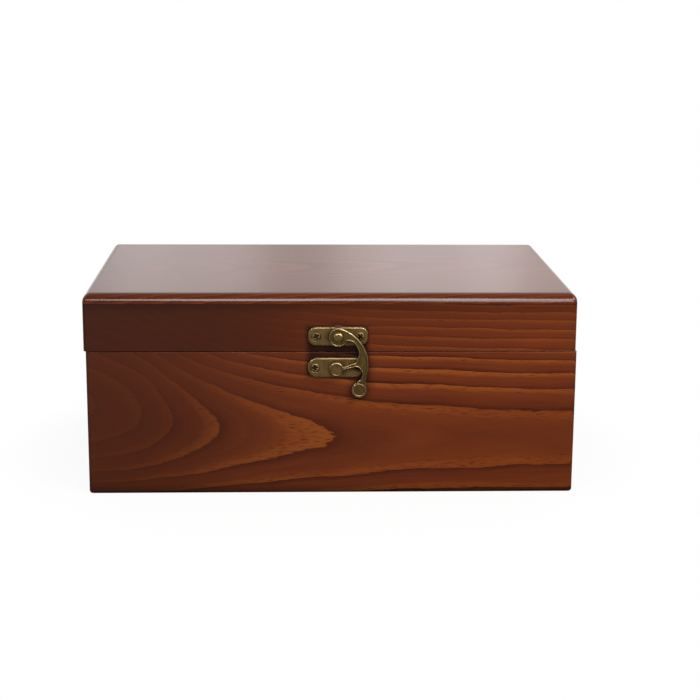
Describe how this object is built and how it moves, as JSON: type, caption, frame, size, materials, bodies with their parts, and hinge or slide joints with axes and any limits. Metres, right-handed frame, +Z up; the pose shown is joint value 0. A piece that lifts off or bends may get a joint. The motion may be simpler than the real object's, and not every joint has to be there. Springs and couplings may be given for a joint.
{
  "type": "sewing box",
  "caption": "Low hinged wooden sewing box with a lift-out divided tray, butt hinges behind and a swing-hook latch in front.",
  "frame": {"origin": "middle of the case's underside, where the box rests", "axes": "+X to the right along the front, +Y to the back, +Z up"},
  "size_m": [0.2155, 0.1446, 0.09],
  "materials": {
    "stained_pine": "dark reddish-brown stain under satin lacquer",
    "stained_plywood": "stained plywood, matt",
    "tray_pine": "stained pine, thin matt lacquer",
    "antique_bronze": "antique bronze plating, worn bright along the edges",
    "screw_bronze": "antique bronze plating on steel",
    "pin_steel": "bronze-tinted steel wire"
  },
  "bodies": {
    "case": {"case_front": "stained_pine", "case_back": "stained_pine", "case_left": "stained_pine", "case_right": "stained_pine", "case_bottom": "stained_plywood", "tray_ledge_left": "stained_pine", "tray_ledge_right": "stained_pine", "keeper_plate": "antique_bronze", "keeper_post": "antique_bronze", "keeper_screws": "screw_bronze", "hinge_case_screws": "screw_bronze", "hinge_left_case_leaf": "antique_bronze", "hinge_right_case_leaf": "antique_bronze", "hinge_left_pin": "pin_steel", "hinge_right_pin": "pin_steel"},
    "lid": {"lid_top_panel": "stained_pine", "lid_front": "stained_pine", "lid_back": "stained_pine", "lid_left": "stained_pine", "lid_right": "stained_pine", "hinge_lid_screws": "screw_bronze", "hinge_left_lid_leaf": "antique_bronze", "hinge_right_lid_leaf": "antique_bronze", "latch_plate": "antique_bronze", "latch_plate_screws": "screw_bronze", "latch_rivet": "antique_bronze"},
    "latch_hook": {"latch_hook": "antique_bronze"},
    "tray": {"tray_front": "tray_pine", "tray_back": "tray_pine", "tray_left": "tray_pine", "tray_right": "tray_pine", "tray_bottom": "stained_plywood", "tray_long_divider": "tray_pine", "tray_spool_divider_1": "tray_pine", "tray_spool_divider_2": "tray_pine"}
  },
  "joints": [
    {"name": "lid_hinge", "type": "hinge", "parent": "case", "child": "lid", "pos_m": [0, 0.0695, 0.0644], "axis": [-1, 0, 0], "range_deg": [0, 105]},
    {"name": "latch_swing", "type": "hinge", "parent": "lid", "child": "latch_hook", "pos_m": [0.00235, -0.07, 0.0713], "axis": [0, -1, 0], "range_deg": [0, 289]},
    {"name": "tray_lift", "type": "slide", "parent": "case", "child": "tray", "axis": [0, 0, 1], "range_m": [0, 0.022]}
  ]
}
